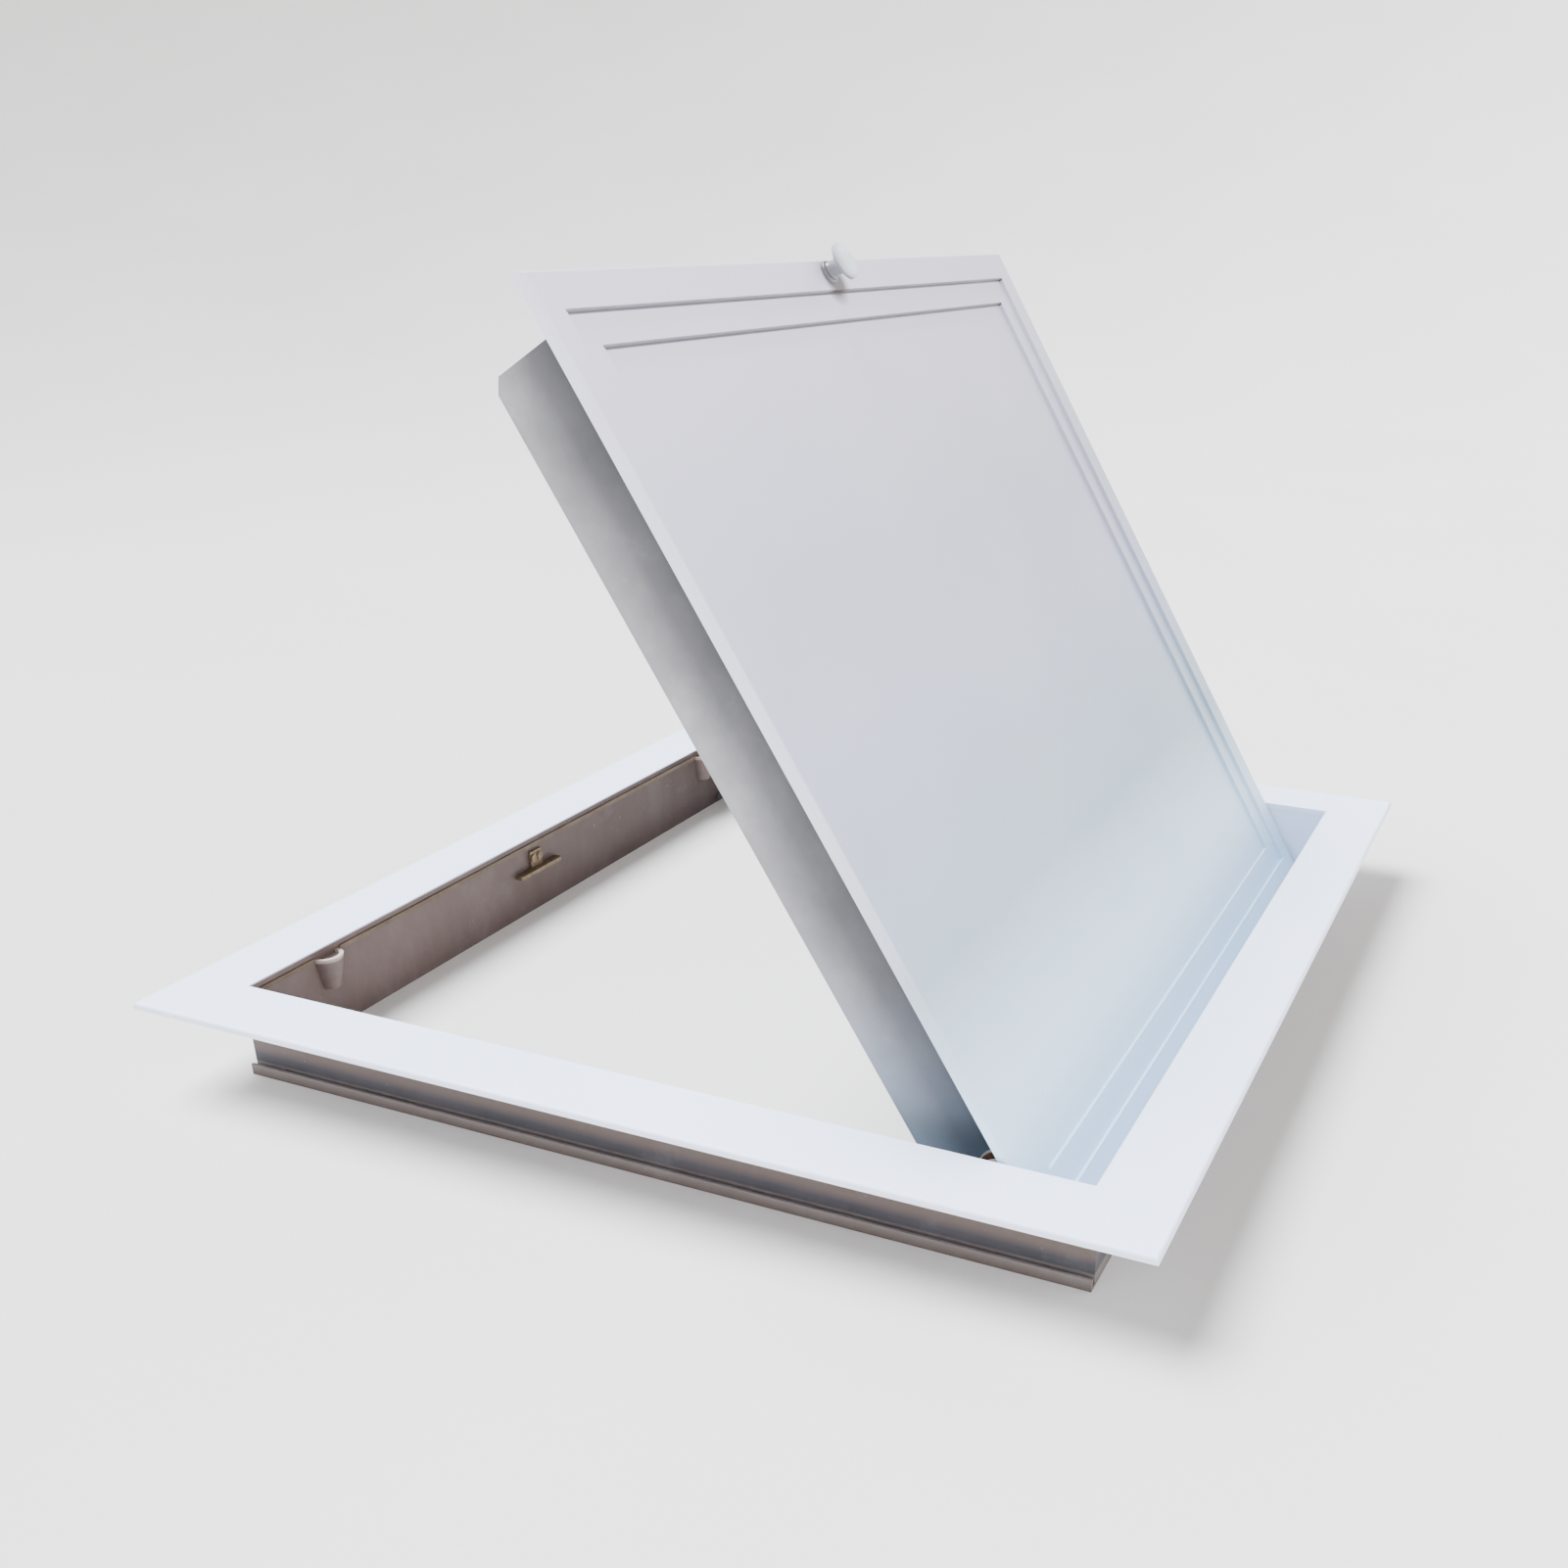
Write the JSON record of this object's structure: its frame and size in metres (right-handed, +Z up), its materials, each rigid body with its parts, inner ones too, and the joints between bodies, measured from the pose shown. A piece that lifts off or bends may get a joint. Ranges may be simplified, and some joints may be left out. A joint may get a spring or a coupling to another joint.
{
  "type": "access hatch",
  "caption": "Rectangular access hatch: mitred flange frame with a collar below and a pivoting insulated plug lid with a turn knob and cam latch, shown part open.",
  "frame": {"origin": "centre of the whole part's bounding box in X and Y, at the bottom edge of the collar", "axes": "+Z up out of the deck, +Y along the pivot line towards the far side, +X from the latch side to the pivot side"},
  "size_m": [0.466, 0.5, 0.3475],
  "materials": {
    "white_coat": "white powder coat, satin",
    "lid_coat": "white powder coat, satin",
    "mill_sheet": "cloudy mill finish",
    "steel": "zinc plated",
    "bronze": "dull bronze",
    "brass": "dull brass",
    "seal_rubber": "matt grey rubber",
    "stop_plastic": "brown moulded plastic",
    "knob_plastic": "white, slightly glossy",
    "foam": "light insulation board",
    "block_plastic": "black moulded plastic"
  },
  "bodies": {
    "frame": {"rail_latch": "white_coat", "rail_hinge": "white_coat", "rail_near": "white_coat", "rail_far": "white_coat", "corner_keys": "steel", "corner_key_rivets": "steel", "seal_strips": "seal_rubber", "lid_stops": "stop_plastic", "lid_stop_screws": "steel", "latch_keeper": "brass", "keeper_screws": "brass", "pivot_pin_near": "steel", "pivot_pin_far": "steel", "pivot_sleeves": "steel"},
    "lid": {"lid_rim": "lid_coat", "lid_panel": "lid_coat", "tray_side_near": "mill_sheet", "tray_side_far": "mill_sheet", "tray_end_free": "mill_sheet", "tray_end_hinge": "mill_sheet", "tray_back": "mill_sheet", "tray_end_rivets": "steel", "back_screw_blocks": "block_plastic", "back_screws": "steel", "insulation_core": "foam", "pivot_washers": "steel", "pivot_bushes": "bronze", "pivot_plates": "steel", "pivot_plate_rivets": "steel", "knob_rose": "knob_plastic"},
    "knob": {"knob": "knob_plastic", "knob_spindle": "steel", "cam_tongue": "steel", "cam_nut": "steel", "spindle_washer": "steel"}
  },
  "joints": [
    {"name": "lid_hinge", "type": "hinge", "parent": "frame", "child": "lid", "pos_m": [0.1575, 0, 0.031], "axis": [0, 1, 0], "range_deg": [-59, 46]},
    {"name": "knob_turn", "type": "hinge", "parent": "lid", "child": "knob", "pos_m": [-0.01129, 0, 0.33522], "axis": [0.8572, 0, 0.515], "range_deg": [0, 90]}
  ]
}
